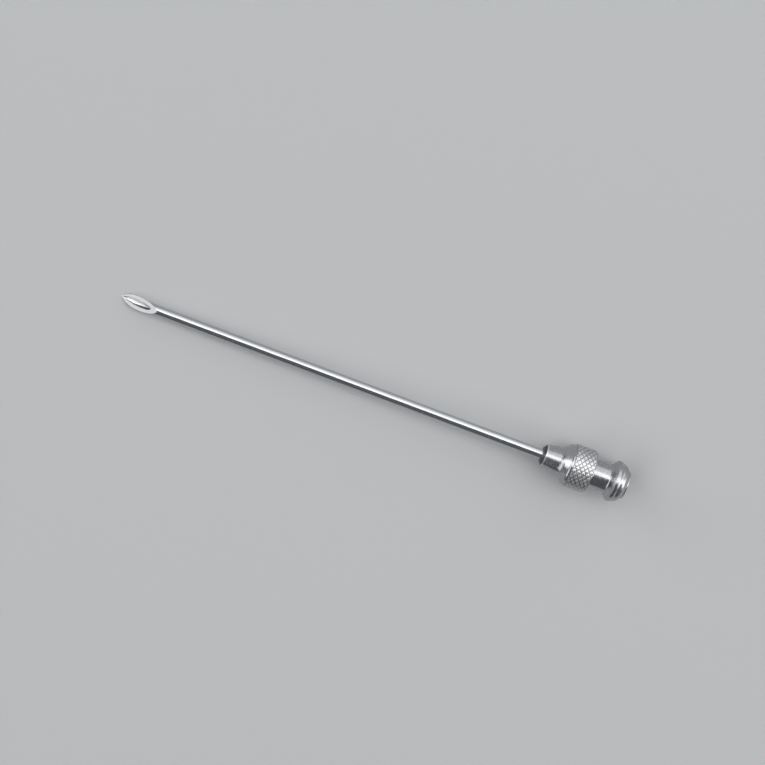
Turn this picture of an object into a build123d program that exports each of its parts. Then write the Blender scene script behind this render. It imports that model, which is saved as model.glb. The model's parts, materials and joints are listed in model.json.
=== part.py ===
from build123d import *

import os
from math import atan, atan2, cos, degrees, radians, sin, sqrt, tan

# Injection cannula: a steel tube with a leaf-shaped lancet point, fixed in a turned Luer hub.
# It is modelled along +X, point first at X = 0 and opening up, and is then laid on its side.
# Every length is in millimetres and every angle in degrees.

# Cannula tube
exposed_length = 80.0  # from the point to the hub's nose
tube_diameter = 1.8
bore_diameter = 1.2
seated_length = 6.8  # the length of tube inside the hub
seat_clearance = 0.02  # radial gap, filled by the joint that fixes the tube

# Leaf-shaped point, ground at a slant and spread wider than the tube
bevel_length = 6.6
leaf_width = 2.42
leaf_widest_at = 3.2  # from the point, along the slant
heel_setback = 0.1  # the spread ends this far before the slant does
wing_depth = 0.42  # how far the spread wall's rounded back dips below the slant
wing_back_width = 2.88  # the width of that back at the slant, before the outline trims it
wing_setback = 0.1  # the wings begin this far behind the sharp point
groove_depth = 0.36
groove_width = 1.0
groove_setback = 0.4  # the groove runs out this far behind the sharp point
groove_end = 5.2  # along the slant, inside the mouth of the bore

# Hub, its lengths in order from the front of the nose back
cone_length = 3.6  # with the chamfer of the nose
shoulder_length = 1.25
collar_length = 0.45
knurl_length = 3.9
neck_length = 3.35
flange_slope_length = 0.95
flange_land_length = 0.55
step_length = 0.35
drum_length = 0.65
rear_slope_length = 0.8
rear_land_length = 0.15

# Hub, its widths and edges
nose_face_diameter = 2.8
nose_chamfer_length = 0.45
cone_front_diameter = 4.04
cone_rear_diameter = 4.84
collar_drop = 0.06  # the shoulder ends this far inside the edge of the knurl
knurl_diameter = 7.86
knurl_depth = 0.22
knurl_crest_flat = 0.15  # how far the diamonds' points are cut back
knurl_edge_chamfer = 0.25
diamonds_round = 20
half_diamonds_along = 9
neck_diameter = 5.16
flange_diameter = 7.46
drum_diameter = 6.98
drum_taper = 0.22  # how much narrower the drum ends
rear_face_diameter = 5.1
turned_edge = 0.08  # radius on the turned outer edges
neck_fillet = 0.45
shoulder_hollow = 1.6
shoulder_round = 0.7
drum_round = 1.2

# Luer socket, a 6% taper that opens at the rear face
socket_mouth_diameter = 4.29
socket_depth = 8.0
socket_taper = 0.06  # of diameter for each unit of length
socket_mouth_chamfer = 0.1
drill_point_angle = 118.0
feed_hole_diameter = 1.3

tube_radius = tube_diameter / 2
bore_radius = bore_diameter / 2
tube_length = exposed_length + seated_length
shoulder_end = cone_length + shoulder_length
knurl_start = shoulder_end + collar_length
knurl_end = knurl_start + knurl_length
flange_slope_start = knurl_end + neck_length
flange_start = flange_slope_start + flange_slope_length
flange_end = flange_start + flange_land_length
drum_start = flange_end + step_length
drum_end = drum_start + drum_length
rear_slope_end = drum_end + rear_slope_length
hub_length = rear_slope_end + rear_land_length
knurl_columns = 2 * diamonds_round
knurl_crest_radius = knurl_diameter / 2
knurl_peak_radius = knurl_crest_radius + knurl_crest_flat
knurl_root_radius = knurl_crest_radius - knurl_depth
collar_radius = knurl_crest_radius - knurl_edge_chamfer
along_axis = Rot(0, 90, 0)  # turns a solid that stands on +Z to lie along +X
margin = 1.0  # how far cutting solids run past what they cut
barrel_overrun = 0.1  # how far the leaf's barrels run on above the slant at each end


def sagitta(radius, half_chord):
    """How far an arc rises over a chord."""
    return radius - sqrt(radius**2 - half_chord**2)


def arc_radius(rise, half_chord):
    """The radius of the arc that rises so far over a chord."""
    return (half_chord**2 + rise**2) / (2 * rise)


# The bevel plane: its origin is the point, local X runs back along the slant, local Z points off it.
bevel_angle = atan2(tube_diameter, bevel_length)
bevel_plane = Plane(
    origin=(0, 0, -tube_radius),
    x_dir=(cos(bevel_angle), 0, sin(bevel_angle)),
    z_dir=(-sin(bevel_angle), 0, cos(bevel_angle)),
)
slant_length = bevel_length / cos(bevel_angle)


def leaf_outline():
    """The leaf seen square on to the bevel: a sharp point, a widest place and a rounded heel."""
    half_width = leaf_width / 2
    front_radius = arc_radius(half_width, leaf_widest_at)
    front_middle = leaf_widest_at / 2
    front_width = half_width - sagitta(front_radius, leaf_widest_at - front_middle)
    heel_length = slant_length - heel_setback - leaf_widest_at
    edges = [EllipticalCenterArc((leaf_widest_at, 0), heel_length, half_width, -90, arc_size=180)]
    for side in (1, -1):
        widest = (leaf_widest_at, side * half_width)
        edges.append(ThreePointArc((0, 0), (front_middle, side * front_width), widest))
    return make_face(Curve() + edges)


def leaf_barrel(depth, width, start, end):
    """A barrel laid along the slant between two places: how far it dips below, and how wide it is there."""
    half_length = (end - start) / 2
    axis_height = arc_radius(depth, width / 2) - depth
    reach = half_length + barrel_overrun
    end_radius = axis_height + depth - sagitta(arc_radius(depth, half_length), reach)
    belly = ThreePointArc((-reach, end_radius), (0, axis_height + depth), (reach, end_radius))
    closing = Polyline((reach, end_radius), (reach, 0), (-reach, 0), (-reach, end_radius))
    barrel = revolve(make_face(Curve() + [belly, closing]), Axis.X)
    return bevel_plane * Pos(start + half_length, 0, axis_height) * barrel


def spread_wall():
    """The spread wall beside the tube: rounded below, upright at the leaf's outline, and uncut above."""
    leaf_prism = bevel_plane * extrude(leaf_outline(), tube_diameter, both=True)
    return leaf_barrel(wing_depth, wing_back_width, wing_setback, slant_length) & leaf_prism


def point_trim():
    """What lies outside the leaf's outline beside its front half."""
    span = tube_diameter + margin
    block = Box(leaf_widest_at + margin, 2 * span, 2 * span, align=(Align.MAX, Align.CENTER, Align.CENTER))
    front_block = bevel_plane * Pos(leaf_widest_at, 0, 0) * block
    leaf_prism = bevel_plane * extrude(leaf_outline(), span, both=True)
    return front_block - leaf_prism


def along_tube(radius, end):
    """A cylinder on the tube's axis, from ahead of the point to a place along the axis."""
    rod = Cylinder(radius, end + margin, align=(Align.CENTER, Align.CENTER, Align.MIN))
    return Pos(-margin, 0, 0) * along_axis * rod


def make_cannula_tube():
    """The drawn tube, spread to a leaf, cut at a slant, pointed, grooved and bored."""
    off_slant = Box(
        slant_length + 2 * margin,
        leaf_width + margin,
        tube_diameter + 2 * margin,
        align=(Align.CENTER, Align.CENTER, Align.MIN),
    )
    above_slant = bevel_plane * Pos(slant_length / 2, 0, 0) * off_slant
    leaf = along_tube(tube_radius, tube_length) + spread_wall() - above_slant - point_trim()
    groove = leaf_barrel(groove_depth, groove_width, groove_setback, groove_end)
    return leaf - groove - along_tube(bore_radius, tube_length + margin)


def turned_body():
    """The hub's turned outer form in one revolved outline, with a plain root under the knurl."""
    core_radius = knurl_root_radius - turned_edge
    corners = [
        ((nose_chamfer_length, cone_front_diameter / 2), 0),
        ((cone_length, cone_rear_diameter / 2), shoulder_hollow),
        ((shoulder_end, collar_radius - collar_drop), shoulder_round),
        ((knurl_start, collar_radius), 0),
        ((knurl_start, core_radius), 0),
        ((knurl_end, core_radius), 0),
        ((knurl_end, neck_diameter / 2), neck_fillet),
        ((flange_slope_start, neck_diameter / 2), neck_fillet),
        ((flange_start, flange_diameter / 2), turned_edge),
        ((flange_end, flange_diameter / 2), turned_edge),
        ((drum_start, drum_diameter / 2), turned_edge),
        ((drum_end, (drum_diameter - drum_taper) / 2), drum_round),
        ((rear_slope_end, rear_face_diameter / 2), turned_edge),
    ]
    outline = FilletPolyline(
        (0, 0),
        (0, nose_face_diameter / 2),
        *[point for point, radius in corners],
        (hub_length, rear_face_diameter / 2),
        (hub_length, 0),
        radius=[0, *[radius for point, radius in corners], 0],
    )
    closing = Line((hub_length, 0), (0, 0))
    return revolve(make_face(Curve() + [outline, closing]), Axis.X)


def knurl_corner(row, column):
    """One corner of the knurl's net: points and groove crossings take turns both ways."""
    raised = (row + column) % 2 == 0
    radius = knurl_peak_radius if raised else knurl_root_radius
    angle = radians(column * 360 / knurl_columns)
    along = knurl_start + row * knurl_length / half_diamonds_along
    return Vector(along, radius * cos(angle), radius * sin(angle))


def knurl_cell(row, column):
    """The two facets of one cell, which meet along the bottom of a groove."""
    here = knurl_corner(row, column)
    back = knurl_corner(row + 1, column)
    across = knurl_corner(row + 1, column + 1)
    round_next = knurl_corner(row, column + 1)
    if (row + column) % 2 == 0:
        facets = [(here, back, round_next), (across, round_next, back)]
    else:
        facets = [(back, across, here), (round_next, here, across)]
    return [Face(Wire.make_polygon(facet, close=True)) for facet in facets]


def knurl_blank():
    """The knurl's outer limit: a flat over each line of points, chamfered at both ends."""
    flats = RegularPolygon(
        knurl_crest_radius, knurl_columns, major_radius=False, rotation=180 / knurl_columns
    )
    blank = extrude(flats, knurl_length)
    return chamfer(blank.faces().filter_by(Axis.Z).edges(), knurl_edge_chamfer)


def knurled_band():
    """The diamond knurl: a faceted ring whose points are cut back to small flats."""
    facets = []
    for row in range(half_diamonds_along):
        for column in range(knurl_columns):
            facets.extend(knurl_cell(row, column))
    for row in (0, half_diamonds_along):
        ring = [knurl_corner(row, column) for column in range(knurl_columns)]
        facets.append(Face(Wire.make_polygon(ring, close=True)))
    net = Solid(Shell(facets))
    return net & Pos(knurl_start, 0, 0) * along_axis * knurl_blank()


def luer_socket():
    """The tapered socket from the rear face, its mouth chamfer, drill point and feed hole."""
    mouth_radius = socket_mouth_diameter / 2
    floor_radius = mouth_radius - socket_depth * socket_taper / 2
    feed_radius = feed_hole_diameter / 2
    floor = hub_length - socket_depth
    funnel_length = (floor_radius - feed_radius) / tan(radians(drill_point_angle / 2))
    outline = Polyline(
        (seated_length - margin, 0),
        (seated_length - margin, feed_radius),
        (floor - funnel_length, feed_radius),
        (floor, floor_radius),
        (hub_length - socket_mouth_chamfer, mouth_radius - socket_mouth_chamfer * socket_taper / 2),
        (hub_length, mouth_radius + socket_mouth_chamfer),
        (hub_length + margin, mouth_radius + socket_mouth_chamfer),
        (hub_length + margin, 0),
        close=True,
    )
    return revolve(make_face(outline), Axis.X)


def tube_seat():
    """The bore from the nose that the tube is fixed in; its end is the stop for the tube."""
    seat_radius = tube_radius + seat_clearance
    seat = Cylinder(seat_radius, seated_length + margin, align=(Align.CENTER, Align.CENTER, Align.MIN))
    return Pos(-margin, 0, 0) * along_axis * seat


def make_luer_hub():
    """The hub, turned from one bar, knurled and bored from both ends."""
    hub = turned_body() + knurled_band() - luer_socket() - tube_seat()
    return Pos(exposed_length, 0, 0) * hub


cannula_tube = make_cannula_tube()
luer_hub = make_luer_hub()

# At rest it leans down to its point, on the point and on the front of the knurled band.
rest_span = exposed_length + knurl_start + knurl_edge_chamfer
rest_tilt = degrees(atan((knurl_crest_radius - tube_radius) / rest_span))
lying = Rot(0, -rest_tilt, 0)
box = Compound(children=[lying * cannula_tube, lying * luer_hub]).bounding_box()
onto_floor = Pos(-(box.min.X + box.max.X) / 2, -(box.min.Y + box.max.Y) / 2, -box.min.Z)

os.makedirs("parts", exist_ok=True)
export_step(onto_floor * lying * cannula_tube, "parts/cannula_tube.step")
export_step(onto_floor * lying * luer_hub, "parts/luer_hub.step")
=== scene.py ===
"""Looks for the injection cannula: drawn steel tube, ground leaf point, turned and knurled hub."""

import json
from math import atan2, cos, pi, radians, sin, tan

import bpy
from mathutils import Matrix, Vector


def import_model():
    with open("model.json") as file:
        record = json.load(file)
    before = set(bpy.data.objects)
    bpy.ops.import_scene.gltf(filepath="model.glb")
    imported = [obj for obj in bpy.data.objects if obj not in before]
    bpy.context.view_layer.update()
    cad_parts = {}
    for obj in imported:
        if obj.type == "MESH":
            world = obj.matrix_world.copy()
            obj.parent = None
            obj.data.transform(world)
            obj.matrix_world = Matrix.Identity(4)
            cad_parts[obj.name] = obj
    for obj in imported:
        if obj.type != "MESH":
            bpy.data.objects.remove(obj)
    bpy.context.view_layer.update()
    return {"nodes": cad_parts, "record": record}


MM = 0.001

# Tube, in millimetres
EXPOSED_LENGTH = 80.0  # from the point to the front of the hub's nose
TUBE_RADIUS = 0.9
BEVEL_LENGTH = 6.6  # of the slant that the leaf is ground on
HEEL_MARGIN = 0.4  # the grinding may reach this far behind the slant
WALL_MARGIN = 0.12  # what lies this far inside the tube's radius is groove or bore
SUNK_DEPTH = (0.01, 0.05)  # below the slant, where the groove starts and where it is full
DRAWN_DEPTH = 0.0025

# Cosine of a face's angle to the slant, where each part starts and where it is full
LEAF_FACING = (0.985, 0.998)
BOTTOM_FACING = (0.68, 0.82)

# Hub, in millimetres, its places behind the front of its nose
HUB_LENGTH = 16.0
NOSE_CHAMFER = 0.45
# The nose chamfer's painted dark reflection fades over this width, and the painted highlight on
# its edge is this wide
NOSE_DARK_BLUR = 0.12
RIM_WIDTH = 0.16
KNURL_START = 5.3
KNURL_END = 9.2
KNURL_ROOT_RADIUS = 3.71
KNURL_ROOT_HEIGHT = 0.1  # how far up the diamonds' sides the painted shade at their roots reaches
EDGE_ROUND = 0.03  # how far the light rounds the edges
TURNED_DEPTH = 0.0016
TURNED_SLANT = 1.7  # how fast the turning marks pass on a flat face, against a cylinder
RING_SQUEEZE = 14.0  # how much finer the marks are along the surface than round the axis
FEED_RATE = 9.0  # steps of the turning tool on each millimetre
KNURL_WEAR = 0.7  # how far the diamonds shade like a plain cylinder

# Metals
TUBE_DARK = (0.46, 0.47, 0.485, 1)
TUBE_LIGHT = (0.54, 0.55, 0.565, 1)
TUBE_LINES = (0.58, 0.59, 0.605, 1)
LEAF = (0.59, 0.6, 0.615, 1)
# Painted shade on the groove's walls, a painted highlight on its bottom, and the diffuse share of
# that bottom as painted light
GROOVE_WALLS_PAINTED_SHADE = (0.36, 0.365, 0.375, 1)
GROOVE_BOTTOM_PAINTED_HIGHLIGHT = (0.95, 0.955, 0.96, 1)
GROOVE_PAINTED_BOUNCE = 0.45
HUB_DARK = (0.36, 0.365, 0.38, 1)
HUB_LIGHT = (0.43, 0.435, 0.45, 1)
HUB_RINGS = (0.47, 0.475, 0.49, 1)
DIAMONDS = (0.64, 0.645, 0.66, 1)
# Painted shade at the knurl's roots
DIAMOND_ROOTS_PAINTED_SHADE = (0.23, 0.235, 0.245, 1)
# A painted highlight on the nose's edge and a painted dark reflection on its chamfer
NOSE_RIM_PAINTED_HIGHLIGHT = (0.72, 0.725, 0.74, 1)
NOSE_PAINTED_DARK_REFLECTION = (0.1, 0.105, 0.115, 1)

# Roughness that some places have on top of the rest
LEAF_EXTRA = 0.08
GROOVE_EXTRA = 0.2
KNURL_EXTRA = 0.12

# Camera: how it stands to the tube, and where the tube lies in the picture
PICTURE_WIDTH = 765
PIXELS_PER_MM = 5.69
CAMERA_ROLL = 20.0  # degrees round the tube's axis, from straight above
CAMERA_YAW = 11.0  # degrees towards the point, from square on to the axis
PICTURE_SLOPE = 20.5  # degrees that the axis runs down to the right
NOSE_PIXEL = (541.7, 454.1)  # the front of the nose, from the left and from the top
LENS = 600.0
SENSOR = 36.0
FAR_END = 10.0

# Floor and surroundings
FLOOR_SIZE = 8.0
FLOOR_COLOR = (0.49, 0.5, 0.51, 1.0)
FLOOR_ROUGHNESS = 0.85
FLOOR_SHINE = 0.15
HORIZON = (0.75, 0.76, 0.77, 1)
HORIZON_TOP = 0.05
CEILING = (0.13, 0.135, 0.14, 1)
CEILING_START = 0.12

# Lamps: the degrees by which each stands along the axis and round it from straight above,
# the degrees that it fills along and round, and its radiance
LAMP_DISTANCE = 2.6
LAMPS = {
    "key": ((12, 31, 62, 27), 2.4),
    "key_side": ((12, 64, 62, 38), 1.1),
    "key_point": ((-47, 31, 50, 27), 2.1),
    "key_low": ((-81, 31, 18, 28), 3.2),
    "key_hub": ((64, 26, 38, 36), 2.6),
    "over_point": ((-34, -28, 34, 56), 1.45),
}

# Sockets of a Mix node for each kind of value: first, second and result
MIX_SOCKETS = {"FLOAT": (2, 3, 0), "VECTOR": (4, 5, 1), "RGBA": (6, 7, 2)}


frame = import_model()
mounts = {mount["name"]: mount for mount in frame["record"]["mounts"]}
axis = Vector(mounts["luer_socket"]["axis"]).normalized()
mouth = Vector(mounts["luer_socket"]["pos_m"])
nose = mouth - axis * HUB_LENGTH * MM
tilt = atan2(axis.z, axis.x)


def connect(tree, node, inputs):
    """Sets a node's inputs. Each is a constant or another node's output."""
    for name, value in inputs.items():
        if isinstance(value, bpy.types.NodeSocket):
            tree.links.new(value, node.inputs[name])
        else:
            node.inputs[name].default_value = value


def add(tree, kind, inputs=None, **settings):
    """Adds a node with its settings and inputs."""
    made = tree.nodes.new(kind)
    for name, value in settings.items():
        setattr(made, name, value)
    connect(tree, made, inputs or {})
    return made


def calc(tree, operation, *values, clamp=False):
    """One step of arithmetic; each value is a number or an output."""
    inputs = dict(enumerate(values))
    return add(tree, "ShaderNodeMath", inputs, operation=operation, use_clamp=clamp).outputs[0]


def ramp(tree, value, start, end, low=0.0, high=1.0):
    """Runs smoothly from low to high while the value goes from start to end."""
    inputs = {"Value": value, "From Min": start, "From Max": end, "To Min": low, "To Max": high}
    made = add(tree, "ShaderNodeMapRange", inputs, interpolation_type="SMOOTHSTEP")
    return made.outputs["Result"]


def mix(tree, factor, first, second, kind="RGBA"):
    """The first value where the factor is 0, and the second where it is 1."""
    first_socket, second_socket, result = MIX_SOCKETS[kind]
    inputs = {0: factor, first_socket: first, second_socket: second}
    return add(tree, "ShaderNodeMix", inputs, data_type=kind).outputs[result]


def unit(tree, vector):
    """The vector at length 1."""
    made = add(tree, "ShaderNodeVectorMath", {0: vector}, operation="NORMALIZE")
    return made.outputs["Vector"]


def noise(tree, place, scale, detail=2.0, roughness=0.5):
    """Noise at a place, from 0 to 1."""
    inputs = {"Vector": place, "Scale": scale, "Detail": detail, "Roughness": roughness}
    return add(tree, "ShaderNodeTexNoise", inputs).outputs["Fac"]


def stretched(tree, place, along, across):
    """The place scaled by one value along the axis and another across it."""
    made = add(tree, "ShaderNodeMapping", {"Vector": place, "Scale": (along, across, across)})
    return made.outputs["Vector"]


def bump(tree, height, depth, normal=None):
    """Fine marks from a height, so many millimetres deep, on the given normal if there is one."""
    inputs = {"Height": height, "Distance": depth * MM}
    if normal is not None:
        inputs["Normal"] = normal
    return add(tree, "ShaderNodeBump", inputs).outputs["Normal"]


def axis_place(tree):
    """A point in millimetres, X along the axis from the hub's nose and Z up."""
    turn = Matrix.Rotation(tilt, 3, "Y")
    inputs = {
        "Vector": add(tree, "ShaderNodeTexCoord").outputs["Object"],
        "Location": -(turn @ (nose / MM)),
        "Rotation": (0, tilt, 0),
        "Scale": (1 / MM,) * 3,
    }
    return add(tree, "ShaderNodeMapping", inputs).outputs["Vector"]


def radius_of(tree, parts):
    """How far the point is from the axis."""
    squares = [calc(tree, "MULTIPLY", parts.outputs[k], parts.outputs[k]) for k in ("Y", "Z")]
    return calc(tree, "SQRT", calc(tree, "ADD", *squares))


def outward(tree, parts):
    """The direction straight out from the axis."""
    sideways = {k: parts.outputs[k] for k in ("Y", "Z")}
    across = add(tree, "ShaderNodeCombineXYZ", sideways).outputs["Vector"]
    tilted = {"Vector": across, "Rotation": (0, -tilt, 0)}
    turned = add(tree, "ShaderNodeMapping", tilted).outputs["Vector"]
    return add(
        tree,
        "ShaderNodeVectorTransform",
        {"Vector": unit(tree, turned)},
        vector_type="NORMAL",
        convert_from="OBJECT",
        convert_to="WORLD",
    ).outputs["Vector"]


def new_material(name):
    """A new material, with its node tree and its shader."""
    made = bpy.data.materials.new(name)
    made.use_nodes = True
    return made, made.node_tree, made.node_tree.nodes["Principled BSDF"]


def tube_material():
    """Drawn and polished steel with fine lines along it, ground across at the point."""
    made, tree, shader = new_material("tube_steel")
    place = axis_place(tree)
    parts = add(tree, "ShaderNodeSeparateXYZ", {"Vector": place})
    lines = noise(tree, stretched(tree, place, along=0.12, across=9.0), scale=3.0, detail=4.0)
    clouds = noise(tree, place, scale=0.35, detail=3.0)
    scuff_place = stretched(tree, place, along=1.2, across=3.0)
    scuffs = noise(tree, scuff_place, scale=2.0, detail=5.0, roughness=0.65)
    grinding = noise(tree, stretched(tree, place, along=26.0, across=1.2), scale=1.0, detail=3.0)

    # The ground leaf is what lies ahead of the heel and faces up off the slant.
    slope = atan2(2 * TUBE_RADIUS, BEVEL_LENGTH) - tilt
    normal = add(tree, "ShaderNodeNewGeometry").outputs["True Normal"]
    pair = {0: normal, 1: (-sin(slope), 0, cos(slope))}
    facing = add(tree, "ShaderNodeVectorMath", pair, operation="DOT_PRODUCT").outputs["Value"]
    heel = BEVEL_LENGTH + HEEL_MARGIN - EXPOSED_LENGTH
    ahead = calc(tree, "LESS_THAN", parts.outputs["X"], heel)
    ground = calc(tree, "MULTIPLY", ramp(tree, facing, *LEAF_FACING), ahead)

    # The groove and the mouth of the bore lie below the slant. Their walls carry painted shade and
    # their bottom a painted highlight, partly diffuse as painted light for the light bouncing
    # inside.
    from_point = calc(tree, "ADD", parts.outputs["X"], EXPOSED_LENGTH)
    above_belly = calc(tree, "ADD", parts.outputs["Z"], TUBE_RADIUS)
    slant_height = calc(tree, "MULTIPLY", from_point, 2 * TUBE_RADIUS / BEVEL_LENGTH)
    below_slant = calc(tree, "SUBTRACT", slant_height, above_belly)
    inside = calc(tree, "LESS_THAN", radius_of(tree, parts), TUBE_RADIUS - WALL_MARGIN)
    hollow = calc(tree, "MULTIPLY", inside, ahead)
    sunk = calc(tree, "MULTIPLY", ramp(tree, below_slant, *SUNK_DEPTH), hollow)
    bottom = ramp(tree, facing, *BOTTOM_FACING)
    # A diffuse share on the groove's bottom, as painted light for the light bouncing inside
    painted_bounce = calc(tree, "MULTIPLY", calc(tree, "MULTIPLY", sunk, bottom), GROOVE_PAINTED_BOUNCE)

    dull = mix(tree, clouds, TUBE_DARK, TUBE_LIGHT)
    color = mix(tree, ramp(tree, lines, 0.35, 0.65), dull, TUBE_LINES)
    color = mix(tree, ground, color, LEAF)
    # Painted shade on the groove's walls and a painted highlight on its bottom
    color = mix(tree, sunk, color, mix(tree, bottom, GROOVE_WALLS_PAINTED_SHADE, GROOVE_BOTTOM_PAINTED_HIGHLIGHT))

    drawn = ramp(tree, lines, 0.3, 0.7, low=0.16, high=0.26)
    rough = calc(tree, "ADD", drawn, ramp(tree, scuffs, 0.55, 0.8, high=0.12))
    rough = calc(tree, "MULTIPLY_ADD", ground, LEAF_EXTRA, rough)
    rough = calc(tree, "MULTIPLY_ADD", sunk, GROOVE_EXTRA, rough)

    marks = mix(tree, ground, lines, grinding, kind="FLOAT")
    looks = {
        "Base Color": color,
        "Metallic": calc(tree, "SUBTRACT", 1.0, painted_bounce),
        "Roughness": rough,
        "Normal": bump(tree, marks, DRAWN_DEPTH),
    }
    connect(tree, shader, looks)
    return made


def hub_material():
    """Plated, finely turned metal: rings round the axis, pale diamonds with painted shade at their
    roots, and a nose with a painted dark reflection and a painted highlight on its edge.
    """
    made, tree, shader = new_material("hub_metal")
    place = axis_place(tree)
    parts = add(tree, "ShaderNodeSeparateXYZ", {"Vector": place})
    behind_nose = parts.outputs["X"]
    radius = radius_of(tree, parts)

    # Turning marks run along the surface of cylinders, cones and flat faces alike.
    track = calc(tree, "MULTIPLY_ADD", radius, TURNED_SLANT, behind_nose)
    squeezed = {k: parts.outputs[k] for k in ("Y", "Z")}
    squeezed["X"] = calc(tree, "MULTIPLY", track, RING_SQUEEZE)
    ring_place = add(tree, "ShaderNodeCombineXYZ", squeezed).outputs["Vector"]
    rings = noise(tree, ring_place, scale=0.8, detail=4.0, roughness=0.6)
    steps = {"W": calc(tree, "MULTIPLY", track, FEED_RATE), "Detail": 2.0}
    feed = add(tree, "ShaderNodeTexNoise", steps, noise_dimensions="1D").outputs["Fac"]
    clouds = noise(tree, place, scale=0.5, detail=3.0)

    # The diamonds are told from their roots by their distance from the axis; the roots carry
    # painted shade.
    behind = calc(tree, "GREATER_THAN", behind_nose, KNURL_START)
    before = calc(tree, "LESS_THAN", behind_nose, KNURL_END)
    on_knurl = calc(tree, "MULTIPLY", behind, before)
    low_down = ramp(tree, radius, KNURL_ROOT_RADIUS + KNURL_ROOT_HEIGHT, KNURL_ROOT_RADIUS)
    root_shade = calc(tree, "MULTIPLY", on_knurl, low_down)
    diamonds = calc(tree, "SUBTRACT", on_knurl, root_shade, clamp=True)
    plain = calc(tree, "SUBTRACT", 1.0, on_knurl)

    # The nose chamfer is painted dark round the tube, a painted dark reflection, up to a painted
    # highlight on its edge.
    dark_reflection = ramp(tree, behind_nose, NOSE_CHAMFER, NOSE_CHAMFER - NOSE_DARK_BLUR)
    rim_highlight = ramp(tree, behind_nose, NOSE_CHAMFER + RIM_WIDTH, NOSE_CHAMFER + RIM_WIDTH / 2)

    dull = mix(tree, clouds, HUB_DARK, HUB_LIGHT)
    color = mix(tree, ramp(tree, rings, 0.35, 0.7), dull, HUB_RINGS)
    color = mix(tree, diamonds, color, DIAMONDS)
    # Painted shade at the diamonds' roots
    color = mix(tree, root_shade, color, DIAMOND_ROOTS_PAINTED_SHADE)
    # A painted highlight on the nose's edge, then a painted dark reflection on its chamfer
    color = mix(tree, rim_highlight, color, NOSE_RIM_PAINTED_HIGHLIGHT)
    color = mix(tree, dark_reflection, color, NOSE_PAINTED_DARK_REFLECTION)

    turned = ramp(tree, rings, 0.3, 0.7, low=0.2, high=0.3)
    rough = calc(tree, "ADD", turned, ramp(tree, clouds, 0.4, 0.8, high=0.06))
    rough = calc(tree, "MULTIPLY_ADD", on_knurl, KNURL_EXTRA, rough)

    rounded = add(tree, "ShaderNodeBevel", {"Radius": EDGE_ROUND * MM}, samples=6)
    lean = calc(tree, "MULTIPLY", on_knurl, KNURL_WEAR)
    worn = mix(tree, lean, rounded.outputs["Normal"], outward(tree, parts), kind="VECTOR")
    marks = calc(tree, "MULTIPLY", calc(tree, "ADD", rings, feed), plain)
    looks = {
        "Base Color": color,
        "Metallic": 1.0,
        "Roughness": rough,
        "Normal": bump(tree, marks, TURNED_DEPTH, unit(tree, worn)),
    }
    connect(tree, shader, looks)
    return made


def floor():
    """A plain pale floor that the cannula lies on."""
    bpy.ops.mesh.primitive_plane_add(size=FLOOR_SIZE, location=(0, 0, 0))
    made = bpy.context.object
    made.name = "floor"
    paint, _, shader = new_material("pale_floor")
    shader.inputs["Base Color"].default_value = FLOOR_COLOR
    shader.inputs["Roughness"].default_value = FLOOR_ROUGHNESS
    shader.inputs["Specular IOR Level"].default_value = FLOOR_SHINE
    made.data.materials.append(paint)


def lamp(name, degrees, radiance):
    """A soft rectangular lamp that looks at the middle of the cannula."""
    along, around, span_along, span_around = (radians(angle) for angle in degrees)
    toward = Vector((sin(along), cos(along) * sin(around), cos(along) * cos(around)))
    side = Vector((0, 1, 0)).cross(toward).normalized()
    light = bpy.data.lights.new(name, "AREA")
    light.shape = "RECTANGLE"
    light.size = 2 * LAMP_DISTANCE * tan(span_along / 2)
    light.size_y = 2 * LAMP_DISTANCE * tan(span_around / 2)
    light.energy = radiance * pi * light.size * light.size_y
    made = bpy.data.objects.new(name, light)
    turned = Matrix((side, toward.cross(side), toward)).transposed().to_4x4()
    made.matrix_world = Matrix.Translation(toward * LAMP_DISTANCE) @ turned
    bpy.context.collection.objects.link(made)


def world():
    """A pale horizon under a darker ceiling, the same for the floor, the metal and the eye."""
    made = bpy.data.worlds.new("studio")
    bpy.context.scene.world = made
    made.use_nodes = True
    tree = made.node_tree
    direction = add(tree, "ShaderNodeTexCoord").outputs["Generated"]
    height = add(tree, "ShaderNodeSeparateXYZ", {"Vector": direction}).outputs["Z"]
    color = mix(tree, ramp(tree, height, HORIZON_TOP, CEILING_START), HORIZON, CEILING)
    connect(tree, tree.nodes["Background"], {"Color": color})


def camera():
    """A long lens at the photograph's angle."""
    up = Vector((-sin(tilt), 0, cos(tilt)))
    side = Vector((0, 1, 0))
    roll, yaw, slope = radians(CAMERA_ROLL), radians(CAMERA_YAW), radians(PICTURE_SLOPE)
    square_on = up * cos(roll) + side * sin(roll)
    toward_camera = square_on * cos(yaw) - axis * sin(yaw)
    axis_in_picture = (axis - toward_camera * axis.dot(toward_camera)).normalized()
    across = toward_camera.cross(axis_in_picture)
    right = axis_in_picture * cos(slope) + across * sin(slope)
    above = across * cos(slope) - axis_in_picture * sin(slope)

    pixel = MM / PIXELS_PER_MM
    nose_right, nose_down = ((place - PICTURE_WIDTH / 2) * pixel for place in NOSE_PIXEL)
    centre = nose - right * nose_right + above * nose_down
    distance = PICTURE_WIDTH * pixel * LENS / SENSOR

    lens = bpy.data.cameras.new("camera")
    lens.lens = LENS
    lens.sensor_width = SENSOR
    lens.clip_end = FAR_END
    made = bpy.data.objects.new("camera", lens)
    bpy.context.collection.objects.link(made)
    turned = Matrix((right, above, toward_camera)).transposed().to_4x4()
    made.matrix_world = Matrix.Translation(centre + toward_camera * distance) @ turned
    bpy.context.scene.camera = made


def finish_node(name, material):
    """Gives a CAD node its finish."""
    mesh = frame["nodes"][name].data
    mesh.materials.clear()
    mesh.materials.append(material)


finish_node("cannula_tube", tube_material())
finish_node("luer_hub", hub_material())
floor()
world()
for name, (degrees, radiance) in LAMPS.items():
    lamp(name, degrees, radiance)
camera()
bpy.context.scene.view_settings.view_transform = "Standard"
